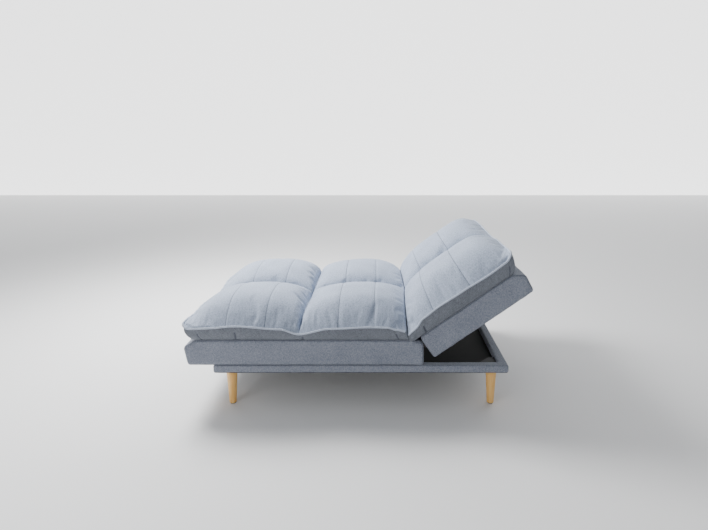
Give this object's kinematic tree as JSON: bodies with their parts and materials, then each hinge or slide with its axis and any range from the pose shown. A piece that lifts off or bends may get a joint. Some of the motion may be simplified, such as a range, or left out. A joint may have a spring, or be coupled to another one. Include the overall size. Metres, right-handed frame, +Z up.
{
  "type": "futon sofa bed",
  "caption": "Upholstered sofa bed on tapered wooden legs: a pillow-topped seat panel over a low frame, with a folding backrest on ratchet hinges that lowers to make a bed.",
  "frame": {"origin": "on the floor, below the middle of the part's box as stored, with the backrest raised to its lounge position", "axes": "+X across the sofa bed, -Y towards the foot end of the seat, +Y towards the backrest, +Z up"},
  "size_m": [1.152, 1.83, 0.8735],
  "materials": {
    "pillow_fabric": "heathered fine weave",
    "piping_fabric": "welt cord, fine weave",
    "panel_fabric": "heathered fine weave",
    "lining_cloth": "non-woven",
    "felt": "needled felt",
    "foam": "open-cell foam",
    "black_board": "black lined fibreboard",
    "frame_wood": "planed softwood",
    "leg_wood": "clear satin lacquer",
    "glide_plastic": "moulded",
    "spring_steel": "oiled wire",
    "clip_steel": "dipped",
    "hinge_steel": "pressed, zinc plated",
    "bolt_steel": "zinc plated"
  },
  "bodies": {
    "base": {"base_cover_front": "panel_fabric", "base_cover_left": "panel_fabric", "base_cover_rear": "panel_fabric", "base_cover_right": "panel_fabric", "base_cross_rail": "frame_wood", "base_deck": "black_board", "base_rail_front": "frame_wood", "base_rail_left": "frame_wood", "base_rail_rear": "frame_wood", "base_rail_right": "frame_wood", "corner_blocks": "frame_wood", "hinge_inner_plate_left": "hinge_steel", "hinge_inner_plate_right": "hinge_steel", "hinge_outer_plate_left": "hinge_steel", "hinge_outer_plate_right": "hinge_steel", "hinge_pivot_pins": "bolt_steel", "hinge_seat_bolts": "bolt_steel", "leg_front_left": "leg_wood", "leg_front_right": "leg_wood", "leg_glides": "glide_plastic", "leg_hanger_bolts": "bolt_steel", "leg_rear_left": "leg_wood", "leg_rear_right": "leg_wood", "pawl_pins": "hinge_steel", "pawl_springs": "hinge_steel", "seat_cover": "panel_fabric", "seat_dust_cloth": "lining_cloth", "seat_felt": "felt", "seat_fixing_bolts": "bolt_steel", "seat_foam": "foam", "seat_pillow_top": "pillow_fabric", "seat_piping": "piping_fabric", "seat_rail_front": "frame_wood", "seat_rail_left": "frame_wood", "seat_rail_middle": "frame_wood", "seat_rail_rear": "frame_wood", "seat_rail_right": "frame_wood", "seat_spring_clips": "clip_steel", "seat_springs": "spring_steel"},
    "backrest": {"back_cover": "panel_fabric", "back_felt": "felt", "back_foam": "foam", "back_pillow_top": "pillow_fabric", "back_piping": "piping_fabric", "back_rail_bottom": "frame_wood", "back_rail_left": "frame_wood", "back_rail_right": "frame_wood", "back_rail_top": "frame_wood", "back_rear_cloth": "lining_cloth", "back_spring_clips": "clip_steel", "back_springs": "spring_steel", "hinge_arm_left": "hinge_steel", "hinge_arm_right": "hinge_steel", "hinge_back_bolts": "bolt_steel"},
    "pawl_left": {"pawl_left": "hinge_steel"},
    "pawl_right": {"pawl_right": "hinge_steel"}
  },
  "joints": [
    {"name": "back fold", "type": "hinge", "parent": "base", "child": "backrest", "pos_m": [0, 0.31995, 0.347], "axis": [1, 0, 0], "range_deg": [-35.5, 42]},
    {"name": "left pawl", "type": "hinge", "parent": "base", "child": "pawl_left", "pos_m": [-0.5185, 0.30331, 0.29625], "axis": [-1, 0, 0], "range_deg": [0, 4], "stiffness_Nm_per_rad": 0.05, "springref_deg": 20.05},
    {"name": "right pawl", "type": "hinge", "parent": "base", "child": "pawl_right", "pos_m": [0.5185, 0.30331, 0.29625], "axis": [-1, 0, 0], "range_deg": [0, 4], "stiffness_Nm_per_rad": 0.05, "springref_deg": 20.05}
  ]
}
